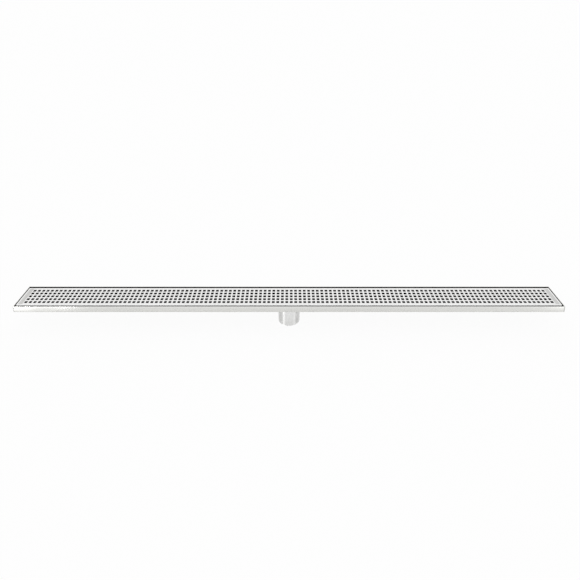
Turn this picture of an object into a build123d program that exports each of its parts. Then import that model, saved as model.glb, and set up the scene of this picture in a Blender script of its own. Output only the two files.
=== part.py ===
from build123d import *
import os

# Linear shower drain: a shallow folded trough with a central outlet and a loose perforated cover.
# Millimetres. The trough runs along X and is open towards +Z. The origin is the centre of the
# outlet's lower end, so the drain stands on the plane Z = 0.

# Trough: one sheet folded up on both long sides, closed by a welded plate at each end
trough_length = 1212.0
trough_width = 72.0
trough_height = 15.0
trough_sheet = 1.5
trough_bend = 1.5
end_plate_sheet = 1.5

# Outlet: a tube stub welded under the floor
outlet_diameter = 48.0
outlet_wall = 1.5
outlet_drop = 45.0
outlet_edge_break = 0.4

# Cover: one perforated sheet folded down on both long sides, lying loose in the trough
cover_sheet = 1.2
cover_bend = 0.5
cover_skirt = 7.0
cover_side_gap = 3.8
cover_end_gap = 2.2
hole_side = 6.3
hole_pitch = 10.0
hole_side_land = 9.0
hole_end_land = 14.0

# Ribs: upright bars across the underside of the cover, each on two feet
rib_count = 6
rib_sheet = 1.5
rib_foot = 12.0
rib_notch_height = 7.5
rib_bend_clearance = 0.3

# Strainer: a loose disc over the mouth of the outlet, with tongues punched and bent down into it
strainer_sheet = 1.0
strainer_flange = 7.0
strainer_clearance = 0.8
strainer_tongues = 10
strainer_tongue_width = 3.6
strainer_tongue_length = 10.0

# Levels above the outlet's lower end
trough_underside = outlet_drop
trough_floor = trough_underside + trough_sheet
rim = trough_underside + trough_height
cover_underside = rim - cover_sheet

# Sizes that follow from the ones above
sheet_length = trough_length - 2 * end_plate_sheet
outlet_bore = outlet_diameter - 2 * outlet_wall
cover_length = sheet_length - 2 * cover_end_gap
cover_width = trough_width - 2 * trough_sheet - 2 * cover_side_gap
hole_columns = int((cover_length - 2 * hole_end_land) / hole_pitch) + 1
hole_rows = int((cover_width - 2 * hole_side_land) / hole_pitch) + 1

FOOT = (Align.CENTER, Align.MIN)
STANDING = (Align.CENTER, Align.CENTER, Align.MIN)
HANGING = (Align.MAX, Align.CENTER, Align.MAX)


def channel_outline(width, height, radius):
    """Outer outline of a channel that stands on the local X axis, with its two bends rounded."""
    outline = Rectangle(width, height, align=FOOT)
    return fillet(outline.vertices().group_by(Axis.Y)[0], radius)


def channel_section(width, height, sheet, bend):
    """Section of a sheet that is folded up on both sides with an inside bend radius."""
    inside = channel_outline(width - 2 * sheet, height, bend)
    return channel_outline(width, height, bend + sheet) - Pos(0, sheet) * inside


def along_x(section, length):
    """Solid of a section drawn in Y and Z, run along X about the middle."""
    return extrude(Plane.YZ * section, length / 2, both=True)


def make_trough():
    """Folded channel with the hole for the outlet in the middle of its floor."""
    section = channel_section(trough_width, trough_height, trough_sheet, trough_bend)
    channel = Pos(0, 0, trough_underside) * along_x(section, sheet_length)
    return channel - Pos(0, 0, trough_underside) * Cylinder(outlet_bore / 2, trough_height, align=STANDING)


def make_end_plate(side):
    """Flat plate with the channel's outer outline, set against one end of it."""
    outline = channel_outline(trough_width, trough_height, trough_bend + trough_sheet)
    plate = along_x(outline, end_plate_sheet)
    return Pos(side * (sheet_length + end_plate_sheet) / 2, 0, trough_underside) * plate


def make_outlet_tube():
    """Plain tube butted against the floor, with its lower outer edge broken."""
    tube = Cylinder(outlet_diameter / 2, outlet_drop, align=STANDING)
    tube = chamfer(tube.edges().group_by(Axis.Z)[0], outlet_edge_break)
    return tube - Cylinder(outlet_bore / 2, outlet_drop, align=STANDING)


def make_cover():
    """Folded cover, level with the rim, with its field of square holes."""
    section = channel_section(cover_width, cover_skirt, cover_sheet, cover_bend)
    folded = along_x(Rot(0, 0, 180) * section, cover_length)
    punch = Pos(0, 0, -cover_sheet / 2) * Box(hole_side, hole_side, 2 * cover_sheet)
    punched = folded - GridLocations(hole_pitch, hole_pitch, hole_columns, hole_rows) * punch
    return Pos(0, 0, rim) * punched


def rib_places():
    """X of each rib: the land between two columns of holes that is nearest to an even spacing."""
    first_land = -hole_columns * hole_pitch / 2
    return [first_land + round((i + 0.5) * hole_columns / rib_count) * hole_pitch for i in range(rib_count)]


def make_rib(x):
    """Bar between the skirts, cut away at the bends and over the waterway."""
    width = cover_width - 2 * cover_sheet
    outline = Rectangle(width, cover_underside - trough_floor, align=FOOT)
    outline = chamfer(outline.vertices().group_by(Axis.Y)[-1], cover_bend + rib_bend_clearance)
    notch = Rectangle(width - 2 * rib_foot, rib_notch_height, align=FOOT)
    return Pos(x, 0, trough_floor) * along_x(outline - notch, rib_sheet)


def make_hair_strainer():
    """Disc lying on the floor. Each tongue hangs in the outlet and leaves its window in the disc."""
    top = trough_floor + strainer_sheet
    fold = outlet_bore / 2 - strainer_clearance
    tongue = Box(strainer_sheet, strainer_tongue_width, strainer_tongue_length, align=HANGING)
    window = Box(strainer_tongue_length, strainer_tongue_width, 3 * strainer_sheet, align=HANGING)
    disc = Cylinder(outlet_bore / 2 + strainer_flange, strainer_sheet, align=STANDING)
    disc = Pos(0, 0, trough_floor) * disc
    around = PolarLocations(0, strainer_tongues)
    disc -= around * (Pos(fold - strainer_sheet, 0, top + strainer_sheet) * window)
    return disc + around * (Pos(fold, 0, top) * tongue)


pieces = {
    "trough": make_trough(),
    "end_plate_left": make_end_plate(-1),
    "end_plate_right": make_end_plate(1),
    "outlet_tube": make_outlet_tube(),
    "cover": make_cover(),
    "hair_strainer": make_hair_strainer(),
}
for number, place in enumerate(rib_places(), start=1):
    pieces[f"cover_rib_{number}"] = make_rib(place)

os.makedirs("parts", exist_ok=True)
for name, piece in pieces.items():
    export_step(piece, f"parts/{name}.step")
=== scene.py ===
import math
import bmesh
import bpy
from mathutils import Matrix, Vector


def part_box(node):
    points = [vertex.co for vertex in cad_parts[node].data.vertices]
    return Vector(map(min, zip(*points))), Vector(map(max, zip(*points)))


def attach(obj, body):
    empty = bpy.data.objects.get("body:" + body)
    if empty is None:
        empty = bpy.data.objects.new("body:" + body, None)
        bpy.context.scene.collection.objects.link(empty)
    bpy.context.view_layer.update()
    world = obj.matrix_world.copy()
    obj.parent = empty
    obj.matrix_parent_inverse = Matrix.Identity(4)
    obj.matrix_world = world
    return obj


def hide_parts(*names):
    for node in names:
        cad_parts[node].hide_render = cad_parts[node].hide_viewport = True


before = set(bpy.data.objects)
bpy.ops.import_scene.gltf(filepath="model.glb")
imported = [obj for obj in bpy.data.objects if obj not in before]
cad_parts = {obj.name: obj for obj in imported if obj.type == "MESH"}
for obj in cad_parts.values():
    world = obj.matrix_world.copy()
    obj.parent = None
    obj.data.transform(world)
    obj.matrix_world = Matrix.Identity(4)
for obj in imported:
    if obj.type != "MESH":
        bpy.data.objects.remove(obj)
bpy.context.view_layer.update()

# Trough
# The body is a shallow channel folded from one 1.5 mm stainless sheet, with a round hole in its floor for
# the outlet. The outside is brushed along its length; the inside is painted near-black as shade.
trough_low, trough_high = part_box("trough")
outlet_low, outlet_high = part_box("outlet_tube")
trough_sheet = 0.0015
trough_bend = 0.003
bend_steps = 6
trough_edge = 0.0005
trough_edge_steps = 2
outlet_wall = 0.0015
outlet_radius = outlet_high.x
outlet_bore = outlet_radius - outlet_wall
hole_patch_x = 0.040
hole_patch_y = 0.029
hole_sides = 64
hairline = 1e-5
smooth_limit = math.radians(35)
edge_limit = math.radians(50)

brushed_colour = (0.79, 0.79, 0.765, 1.0)
# Lighter tone on the sheet's cut rim: a painted highlight.
rim_highlight_colour = (0.86, 0.86, 0.85, 1.0)
# Near-black inside: painted shade, so that the holes and gaps read dark.
painted_shade_colour = (0.020, 0.019, 0.018, 1.0)
brushed_tones = (0.94, 1.06)
mill_tones = (0.8, 1.2)
trough_roughness = 0.27
cloud_swing = 0.04
mill_smoothest = 0.5
mill_roughest = 0.6
along_x = (1.0, 0.0, 0.0)
long_grain = (9.0, 2600.0, 2600.0)
long_streak = (2.5, 160.0, 160.0)
cloud_scale = (14.0, 22.0, 22.0)
mottle_scale = (60.0, 180.0, 180.0)
line_detail = 3.0
streak_detail = 2.0
cloud_detail = 3.0
mottle_detail = 4.0
noise_low = 0.3
noise_high = 0.7
scratch_depth = 0.000005
brushed_stretch = 0.92


def node_tree(name):
    """New material with its shader and the object's own coordinates."""
    material = bpy.data.materials.new(name)
    material.use_nodes = True
    nodes = material.node_tree.nodes
    links = material.node_tree.links
    shader = nodes["Principled BSDF"]
    place = nodes.new("ShaderNodeTexCoord").outputs["Object"]
    return material, nodes, links, shader, place


def stretched_noise(nodes, links, place, scale, detail):
    """Noise drawn out along the axes with the smaller scales."""
    mapping = nodes.new("ShaderNodeMapping")
    mapping.inputs["Scale"].default_value = scale
    noise = nodes.new("ShaderNodeTexNoise")
    noise.inputs["Scale"].default_value = 1.0
    noise.inputs["Detail"].default_value = detail
    links.new(place, mapping.inputs["Vector"])
    links.new(mapping.outputs["Vector"], noise.inputs["Vector"])
    return noise.outputs["Fac"]


def spread(nodes, links, value, low, high):
    """Range that a noise value is drawn out to."""
    ramp = nodes.new("ShaderNodeMapRange")
    ramp.inputs["From Min"].default_value = noise_low
    ramp.inputs["From Max"].default_value = noise_high
    ramp.inputs["To Min"].default_value = low
    ramp.inputs["To Max"].default_value = high
    links.new(value, ramp.inputs["Value"])
    return ramp.outputs["Result"]


def reckon(nodes, links, operation, first, second):
    """One step of arithmetic on two values, each a socket or a plain number."""
    step = nodes.new("ShaderNodeMath")
    step.operation = operation
    for socket, value in zip(step.inputs, (first, second)):
        if isinstance(value, float):
            socket.default_value = value
        else:
            links.new(value, socket)
    return step.outputs["Value"]


def two_tones(nodes, links, colour, tones, share, target):
    """Blend from a darker to a lighter tone of one colour."""
    tint = nodes.new("ShaderNodeMix")
    tint.data_type = "RGBA"
    for socket, tone in zip(("A", "B"), tones):
        tint.inputs[socket].default_value = tuple(min(1.0, tone * c) for c in colour[:3]) + (1.0,)
    links.new(share, tint.inputs["Factor"])
    links.new(tint.outputs["Result"], target)


def brushed_steel(name, colour, roughness, grain, streak, axis, turn=0.0):
    """Stainless steel brushed along an axis, with drawn-out highlights, streaks and faint clouds."""
    material, nodes, links, shader, place = node_tree(name)
    lines = stretched_noise(nodes, links, place, grain, line_detail)
    streaks = stretched_noise(nodes, links, place, streak, streak_detail)
    clouds = stretched_noise(nodes, links, place, cloud_scale, cloud_detail)
    half_streaks = spread(nodes, links, streaks, 0.0, 0.5)
    half_lines = spread(nodes, links, lines, 0.0, 0.5)
    shade = reckon(nodes, links, "ADD", half_streaks, half_lines)
    two_tones(nodes, links, colour, brushed_tones, shade, shader.inputs["Base Color"])
    cloudy = spread(nodes, links, clouds, roughness - cloud_swing, roughness + cloud_swing)
    links.new(cloudy, shader.inputs["Roughness"])
    bump = nodes.new("ShaderNodeBump")
    bump.inputs["Strength"].default_value = 1.0
    bump.inputs["Distance"].default_value = scratch_depth
    links.new(lines, bump.inputs["Height"])
    links.new(bump.outputs["Normal"], shader.inputs["Normal"])
    across = nodes.new("ShaderNodeVectorMath")
    across.operation = "CROSS_PRODUCT"
    across.inputs[0].default_value = axis
    links.new(nodes.new("ShaderNodeNewGeometry").outputs["Normal"], across.inputs[1])
    links.new(across.outputs["Vector"], shader.inputs["Tangent"])
    shader.inputs["Anisotropic"].default_value = brushed_stretch
    shader.inputs["Anisotropic Rotation"].default_value = turn
    shader.inputs["Metallic"].default_value = 1.0
    return material


def painted_shade_steel(name, colour):
    """Dull sheet with faint roller mottling, in a dark colour that is painted shade."""
    material, nodes, links, shader, place = node_tree(name)
    mottle = stretched_noise(nodes, links, place, mottle_scale, mottle_detail)
    shade = spread(nodes, links, mottle, 0.0, 1.0)
    two_tones(nodes, links, colour, mill_tones, shade, shader.inputs["Base Color"])
    links.new(spread(nodes, links, mottle, mill_smoothest, mill_roughest), shader.inputs["Roughness"])
    shader.inputs["Metallic"].default_value = 1.0
    return material


def made_verts(made):
    """Vertices among what an operator has made."""
    return [g for g in made["geom"] if isinstance(g, bmesh.types.BMVert)]


def add_piece(shape, name, materials):
    """Mesh object made from a finished bmesh, riding on the drain."""
    mesh = bpy.data.meshes.new(name)
    shape.to_mesh(mesh)
    shape.free()
    mesh.shade_smooth()
    mesh.set_sharp_from_angle(angle=smooth_limit)
    for material in materials:
        mesh.materials.append(material)
    piece = bpy.data.objects.new(name, mesh)
    bpy.context.scene.collection.objects.link(piece)
    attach(piece, "root")
    return piece


def give_sheet(piece, thickness, edge, edge_steps):
    """Sheet thickness laid inwards from the outer skin, and broken edges.

    After each outside material, the piece lists the material of the inside and that of the rim.
    """
    wall = piece.modifiers.new("sheet", "SOLIDIFY")
    wall.thickness = thickness
    wall.offset = -1.0
    wall.use_even_offset = True
    wall.material_offset = 1
    wall.material_offset_rim = 2
    edges = piece.modifiers.new("broken_edges", "BEVEL")
    edges.width = edge
    edges.segments = edge_steps
    edges.limit_method = "ANGLE"
    edges.angle_limit = edge_limit


trough_steel = brushed_steel("trough_steel", brushed_colour, trough_roughness, long_grain, long_streak,
                             along_x)
rim_highlight_steel = brushed_steel("rim_highlight_steel", rim_highlight_colour, trough_roughness, long_grain, long_streak, along_x)
inside_painted_shade = painted_shade_steel("inside_painted_shade", painted_shade_colour)

channel = bmesh.new()
bmesh.ops.create_grid(channel, x_segments=3, y_segments=3, size=1.0)
for v in channel.verts:
    v.co.x = math.copysign(trough_high.x if abs(v.co.x) > 0.5 else hole_patch_x, v.co.x)
    v.co.y = math.copysign(trough_high.y if abs(v.co.y) > 0.5 else hole_patch_y, v.co.y)
    v.co.z = trough_low.z
hole_patch = min(channel.faces, key=lambda face: face.calc_center_median().xy.length)
patch_edges = list(hole_patch.edges)
bmesh.ops.delete(channel, geom=[hole_patch], context="FACES_ONLY")
bmesh.ops.subdivide_edges(channel, edges=patch_edges, cuts=hole_sides // 4 - 1)
patch_edges = [e for e in channel.edges if len(e.link_faces) == 1
               and all(abs(v.co.x) < hole_patch_x + hairline for v in e.verts)
               and all(abs(v.co.y) < hole_patch_y + hairline for v in e.verts)]
drawn_in = bmesh.ops.extrude_edge_only(channel, edges=patch_edges)
for v in made_verts(drawn_in):
    around = math.atan2(v.co.y / hole_patch_y, v.co.x / hole_patch_x)
    v.co.x = outlet_bore * math.cos(around)
    v.co.y = outlet_bore * math.sin(around)
folds = [e for e in channel.edges if all(abs(v.co.y) > trough_high.y - hairline for v in e.verts)]
walls = bmesh.ops.extrude_edge_only(channel, edges=folds)
bmesh.ops.translate(channel, verts=made_verts(walls), vec=(0, 0, trough_high.z - trough_low.z))
bmesh.ops.bevel(channel, geom=folds, offset=trough_bend, segments=bend_steps, profile=0.5,
                affect="EDGES", material=-1)
bmesh.ops.recalc_face_normals(channel, faces=channel.faces)
lowest = min(channel.faces, key=lambda face: face.calc_center_median().z)
if lowest.normal.z > 0:
    bmesh.ops.reverse_faces(channel, faces=channel.faces)
piece = add_piece(channel, "trough_shell", [trough_steel, inside_painted_shade, rim_highlight_steel])
give_sheet(piece, trough_sheet, trough_edge, trough_edge_steps)
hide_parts("trough")

# End plates
# A flat plate of the same sheet is welded over each end of the channel and ground flush with its outside.
# Both are brushed upright. On the inside the left one is brushed as well, and the right one is painted
# near-black as the shade in the gap at that end.
along_y = (0.0, 1.0, 0.0)
quarter_turn = 0.25
end_roughness = 0.42
end_edge = 0.0003
end_edge_steps = 2
end_edge_angle = math.radians(60)
upright_grain = (2600.0, 2600.0, 9.0)
upright_streak = (160.0, 160.0, 2.5)
end_steel = brushed_steel("end_steel", brushed_colour, end_roughness, upright_grain, upright_streak,
                          along_y, turn=quarter_turn)
for end in ("left", "right"):
    plate_low, plate_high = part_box(f"end_plate_{end}")
    plate_middle = (plate_low + plate_high) / 2
    plate_size = plate_high - plate_low
    plate = bmesh.new()
    bmesh.ops.create_grid(plate, x_segments=1, y_segments=1, size=0.5)
    bmesh.ops.rotate(plate, verts=plate.verts, matrix=Matrix.Rotation(math.radians(90), 3, "Y"))
    bmesh.ops.scale(plate, verts=plate.verts, vec=(1, plate_size.y, plate_size.z))
    bmesh.ops.translate(plate, verts=plate.verts, vec=(plate_low.x, plate_middle.y, plate_middle.z))
    corners = [v for v in plate.verts if v.co.z < plate_middle.z]
    bmesh.ops.bevel(plate, geom=corners, offset=trough_bend, segments=bend_steps, profile=0.5,
                    affect="VERTICES", material=-1)
    raised = bmesh.ops.extrude_face_region(plate, geom=list(plate.faces))
    bmesh.ops.translate(plate, verts=made_verts(raised), vec=(plate_size.x, 0, 0))
    bmesh.ops.recalc_face_normals(plate, faces=plate.faces)
    rims = [e for e in plate.edges if e.calc_face_angle(0.0) > end_edge_angle]
    bmesh.ops.bevel(plate, geom=rims, offset=end_edge, segments=end_edge_steps, profile=0.5,
                    affect="EDGES", material=-1)
    for face in plate.faces:
        # The right plate's inside is painted shade, which darkens the gap at that end.
        face.material_index = 1 if end == "right" and face.normal.x < -0.5 else 0
    piece = add_piece(plate, f"end_plate_{end}_sheet", [end_steel, inside_painted_shade])
    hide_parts(f"end_plate_{end}")

# Outlet tube
# A plain stub of welded stainless tube that enters the waste pipe, butted under the middle of the floor.
# It is polished round its outside and turned square at its lower end, where the edges are broken.
upright = (0.0, 0.0, 1.0)
tube_colour = (0.97, 0.97, 0.955, 1.0)
tube_roughness = 0.36
tube_edge = 0.0004
tube_edge_steps = 3
tube_sides = 128
round_grain = (60.0, 60.0, 2600.0)
round_streak = (12.0, 12.0, 160.0)
tube_steel = brushed_steel("outlet_steel", tube_colour, tube_roughness, round_grain, round_streak,
                           upright, turn=quarter_turn)
tube = bmesh.new()
section = [tube.verts.new((r, 0, z)) for r, z in (
    (outlet_bore, outlet_low.z), (outlet_radius, outlet_low.z),
    (outlet_radius, outlet_high.z), (outlet_bore, outlet_high.z))]
tube.faces.new(section)
lower = [v for v in tube.verts if v.co.z < outlet_high.z / 2]
bmesh.ops.bevel(tube, geom=lower, offset=tube_edge, segments=tube_edge_steps, profile=0.5,
                affect="VERTICES", material=-1)
outline = list(tube.edges)
bmesh.ops.delete(tube, geom=list(tube.faces), context="FACES_ONLY")
bmesh.ops.spin(tube, geom=list(tube.verts) + outline, cent=(0, 0, 0), axis=upright, angle=math.tau,
               steps=tube_sides, use_merge=True)
bmesh.ops.remove_doubles(tube, verts=tube.verts, dist=hairline)
bmesh.ops.recalc_face_normals(tube, faces=tube.faces)
piece = add_piece(tube, "outlet_stub", [tube_steel])
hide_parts("outlet_tube")

# Outlet weld
# The stub is joined to the floor by a run of weld all round, left as laid. Its fine scales are crescents,
# because the flanks of each one lag behind its crown.
weld_radius = 0.0016
weld_sides = 20
weld_scales = 96
scale_steps = 6
scale_depth = 0.10
scale_lag = 2.4
weld_height = outlet_high.z - weld_radius * 0.5
weld_colour = (0.55, 0.53, 0.50, 1.0)
weld_roughness = 0.34
weld_grain = (900.0, 900.0, 900.0)
weld_streak = (90.0, 90.0, 90.0)
weld_steel = brushed_steel("weld_steel", weld_colour, weld_roughness, weld_grain, weld_streak, upright)
weld = bmesh.new()
bmesh.ops.create_circle(weld, segments=weld_sides, radius=weld_radius,
                        matrix=Matrix.Translation((outlet_radius, 0, weld_height))
                        @ Matrix.Rotation(math.radians(90), 4, "X"))
bmesh.ops.spin(weld, geom=list(weld.verts) + list(weld.edges), cent=(0, 0, 0), axis=upright, angle=math.tau,
               steps=weld_scales * scale_steps, use_merge=True)
bmesh.ops.remove_doubles(weld, verts=weld.verts, dist=hairline)
for v in weld.verts:
    around = math.atan2(v.co.y, v.co.x)
    outward = Vector((math.cos(around), math.sin(around), 0))
    heart = outlet_radius * outward + Vector((0, 0, weld_height))
    reach = v.co - heart
    crown = (reach.dot(outward) - reach.z) / weld_radius
    wave = math.cos(weld_scales * around + scale_lag * crown)
    v.co = heart + reach * (1.0 - scale_depth * (0.5 - 0.5 * wave))
    sunk = max(0.0, outlet_radius - outlet_wall * 0.5 - v.co.dot(outward))
    v.co += sunk * outward
    v.co.z = min(v.co.z, outlet_high.z + trough_sheet * 0.5)
bmesh.ops.recalc_face_normals(weld, faces=weld.faces)
add_piece(weld, "outlet_weld", [weld_steel])

# Cover
# One thin stainless sheet, punched with rows of square holes, folded down on both long sides and laid loose
# in the trough. Its top is brushed along, with a darker grey strip at each end brushed across. The skirts
# are painted dark grey as the shade in the gaps beside the cover, and its underside and cut edges are painted
# near-black as shade.
cover_low, cover_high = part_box("cover")
cover_sheet = 0.0012
cover_bend = 0.0017
cover_bend_steps = 5
cover_edge = 0.00015
cover_edge_steps = 1
hole_side = 0.0063
hole_pitch = 0.010
hole_corner = 0.0005
hole_corner_steps = 2
hole_columns = 118
hole_rows = 5
end_strip = 0.0092
side_strip = 0.002
skirt_normal = 0.9
cover_colour = (0.95, 0.95, 0.94, 1.0)
cover_end_colour = (0.66, 0.66, 0.65, 1.0)
# Dark grey skirts: painted shade in the gaps in front of and behind the cover.
skirt_shade_colour = (0.14, 0.137, 0.132, 1.0)
# Near-black cut edges of the holes and sheet: painted shade.
cut_edge_shade_colour = (0.030, 0.029, 0.028, 1.0)
cover_roughness = 0.40
cross_grain = (2600.0, 9.0, 2600.0)
cross_streak = (160.0, 2.5, 160.0)
cover_steel = brushed_steel("cover_steel", cover_colour, cover_roughness, long_grain, long_streak, along_x)
cover_end_steel = brushed_steel("cover_end_steel", cover_end_colour, cover_roughness, cross_grain,
                                cross_streak, along_y)
skirt_painted_shade = painted_shade_steel("skirt_painted_shade", skirt_shade_colour)
cut_edge_painted_shade = painted_shade_steel("cut_edge_painted_shade", cut_edge_shade_colour)
cover_finishes_and_shades = [steel for outside in (cover_steel, cover_end_steel, skirt_painted_shade)
                  for steel in (outside, inside_painted_shade, cut_edge_painted_shade)]

cover = bmesh.new()
bmesh.ops.create_grid(cover, x_segments=1, y_segments=1, size=hole_side / 2)
bmesh.ops.bevel(cover, geom=list(cover.verts), offset=hole_corner, segments=hole_corner_steps, profile=0.5,
                affect="VERTICES", material=-1)
hole_edges = list(cover.edges)
bmesh.ops.delete(cover, geom=list(cover.faces), context="FACES_ONLY")
border = bmesh.ops.create_grid(cover, x_segments=1, y_segments=1, size=hole_pitch / 2)
border_edges = list({e for v in border["verts"] for e in v.link_edges})
bmesh.ops.delete(cover, geom=list({f for v in border["verts"] for f in v.link_faces}), context="FACES_ONLY")
bmesh.ops.subdivide_edges(cover, edges=border_edges, cuts=len(hole_edges) // 4 - 1)
bmesh.ops.bridge_loops(cover, edges=list(cover.edges))
bmesh.ops.translate(cover, verts=cover.verts, vec=(
    -(hole_columns - 1) * hole_pitch / 2, -(hole_rows - 1) * hole_pitch / 2, cover_high.z))
cell = list(cover.verts) + list(cover.edges) + list(cover.faces)
row = list(cell)
for column in range(1, hole_columns):
    copy = bmesh.ops.duplicate(cover, geom=cell)
    bmesh.ops.translate(cover, verts=made_verts(copy), vec=(column * hole_pitch, 0, 0))
    row += copy["geom"]
for line in range(1, hole_rows):
    copy = bmesh.ops.duplicate(cover, geom=row)
    bmesh.ops.translate(cover, verts=made_verts(copy), vec=(0, line * hole_pitch, 0))
bmesh.ops.remove_doubles(cover, verts=cover.verts, dist=hairline)

field_x = hole_columns * hole_pitch / 2
field_y = hole_rows * hole_pitch / 2
strip_x = field_x + end_strip
strip_y = field_y + side_strip
for side, field, reach in (
        (1, field_y, strip_y), (1, strip_y, cover_high.y), (0, field_x, strip_x), (0, strip_x, cover_high.x)):
    outer = [e for e in cover.edges if len(e.link_faces) == 1
             and all(abs(v.co[side]) > field - hairline for v in e.verts)]
    margin = bmesh.ops.extrude_edge_only(cover, edges=outer)
    for v in made_verts(margin):
        v.co[side] = math.copysign(reach, v.co[side])
folds = [e for e in cover.edges if all(abs(v.co.y) > cover_high.y - hairline for v in e.verts)]
skirts = bmesh.ops.extrude_edge_only(cover, edges=folds)
bmesh.ops.translate(cover, verts=made_verts(skirts), vec=(0, 0, cover_low.z - cover_high.z))
bmesh.ops.bevel(cover, geom=folds, offset=cover_bend, segments=cover_bend_steps, profile=0.5,
                affect="EDGES", material=-1)
bmesh.ops.recalc_face_normals(cover, faces=cover.faces)
highest = max(cover.faces, key=lambda face: face.calc_center_median().z)
if highest.normal.z < 0:
    bmesh.ops.reverse_faces(cover, faces=cover.faces)
for face in cover.faces:
    middle = face.calc_center_median()
    if abs(face.normal.y) > skirt_normal:
        face.material_index = cover_finishes_and_shades.index(skirt_painted_shade)
    elif field_x < abs(middle.x) < strip_x and abs(middle.y) < strip_y:
        face.material_index = cover_finishes_and_shades.index(cover_end_steel)
piece = add_piece(cover, "cover_sheet", cover_finishes_and_shades)
give_sheet(piece, cover_sheet, cover_edge, cover_edge_steps)
piece.modifiers["broken_edges"].harden_normals = True
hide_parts("cover")

# Cover ribs
# Upright bars of plain sheet, tacked across the underside of the cover. They stand on the trough's floor
# with a foot at each side, and water runs through the notch between the feet.


def paint_solid_shade(name, steel):
    """Painted shade as the material of a piece that is shown as its own solid."""
    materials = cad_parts[name].data.materials
    materials.clear()
    materials.append(steel)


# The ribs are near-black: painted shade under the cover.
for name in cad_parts:
    if name.startswith("cover_rib"):
        paint_solid_shade(name, inside_painted_shade)

# Hair strainer
# A loose punched disc of sheet that lies over the mouth of the outlet. Its tongues are bent down inside the
# mouth, which keeps it in place, and leave slots that hold back hair.
# The strainer is near-black: painted shade deep under the cover.
strainer_shade_colour = (0.035, 0.034, 0.032, 1.0)
paint_solid_shade("hair_strainer", painted_shade_steel("strainer_steel", strainer_shade_colour))

# Floor and room
# A plain pale floor in an even white room. It is white to the camera and partly to the metal, and still takes
# the drain's soft shadow. Inside the outlet it is left as it is lit, which is dark.
floor_reach = 40.0
floor_colour = (0.86, 0.86, 0.86, 1.0)
white_shares = (("Is Camera Ray", 0.92), ("Is Glossy Ray", 0.22), ("Is Transmission Ray", 0.92))
floor_shape = bmesh.new()
bmesh.ops.create_grid(floor_shape, x_segments=1, y_segments=1, size=floor_reach)
floor_mesh = bpy.data.meshes.new("floor")
floor_shape.to_mesh(floor_mesh)
floor_shape.free()
floor = bpy.data.objects.new("floor", floor_mesh)
bpy.context.scene.collection.objects.link(floor)
floor_paint, nodes, links, shader, place = node_tree("floor_paint")
nodes.remove(shader)
matt = nodes.new("ShaderNodeBsdfDiffuse")
matt.inputs["Color"].default_value = floor_colour
glow = nodes.new("ShaderNodeEmission")
glow.inputs["Strength"].default_value = 1.0
seen = nodes.new("ShaderNodeLightPath")
white = 0.0
for ray, share in white_shares:
    part = reckon(nodes, links, "MULTIPLY", seen.outputs[ray], share)
    white = reckon(nodes, links, "MAXIMUM", white, part)
from_outlet = nodes.new("ShaderNodeVectorMath")
from_outlet.operation = "LENGTH"
links.new(place, from_outlet.inputs[0])
outside_outlet = reckon(nodes, links, "GREATER_THAN", from_outlet.outputs["Value"], outlet_bore)
blend = nodes.new("ShaderNodeMixShader")
links.new(reckon(nodes, links, "MULTIPLY", white, outside_outlet), blend.inputs["Fac"])
links.new(matt.outputs["BSDF"], blend.inputs[1])
links.new(glow.outputs["Emission"], blend.inputs[2])
links.new(blend.outputs["Shader"], nodes["Material Output"].inputs["Surface"])
floor_mesh.materials.append(floor_paint)

world = bpy.data.worlds.new("studio")
bpy.context.scene.world = world
world.use_nodes = True
room = world.node_tree.nodes["Background"]
room.inputs["Color"].default_value = (1.0, 1.0, 1.0, 1.0)
room.inputs["Strength"].default_value = 1.0

# Lamps
# Low soft strips in front, from the floor up to about the rim's height: a far one on each side, which shade
# the front face and streak the outlet, and a small near one that brightens the left end.
lamp_aim = Vector((0, 0, 0.05))
for name, stand, size, power in (
        ("left_near", (-0.87, -0.50, 0.03), (0.03, 0.05), 0.11),
        ("left_far", (-9.7, -7.9, 0.03), (1.4, 0.05), 200.0),
        ("right_far", (20.0, -15.8, 0.03), (3.2, 0.10), 450.0)):
    light = bpy.data.lights.new(name, "AREA")
    light.shape = "RECTANGLE"
    light.size, light.size_y = size
    light.energy = power
    lamp = bpy.data.objects.new(name, light)
    lamp.location = stand
    lamp.rotation_euler = (lamp_aim - Vector(stand)).to_track_quat("-Z", "Y").to_euler()
    bpy.context.scene.collection.objects.link(lamp)

# Camera
# In front of the middle and well above, tilted a little down. The lens is shifted down, which keeps the
# upright edges nearly upright as in the photograph.
image_width_px = 580.0
focal_px = 486.0
axis_above_middle_px = 177.9
camera_side = 0.0022
camera_distance = 0.9426
camera_above_rim = 0.7040
camera_tilt = math.radians(16.0)
camera_data = bpy.data.cameras.new("camera")
camera_data.sensor_width = 36.0
camera_data.lens = camera_data.sensor_width * focal_px / image_width_px
camera_data.shift_y = -axis_above_middle_px / image_width_px
camera = bpy.data.objects.new("camera", camera_data)
camera.location = (camera_side, -camera_distance, trough_high.z + camera_above_rim)
camera.rotation_euler = (math.radians(90.0) - camera_tilt, 0, 0)
bpy.context.scene.collection.objects.link(camera)
bpy.context.scene.camera = camera
bpy.context.scene.view_settings.view_transform = "Standard"
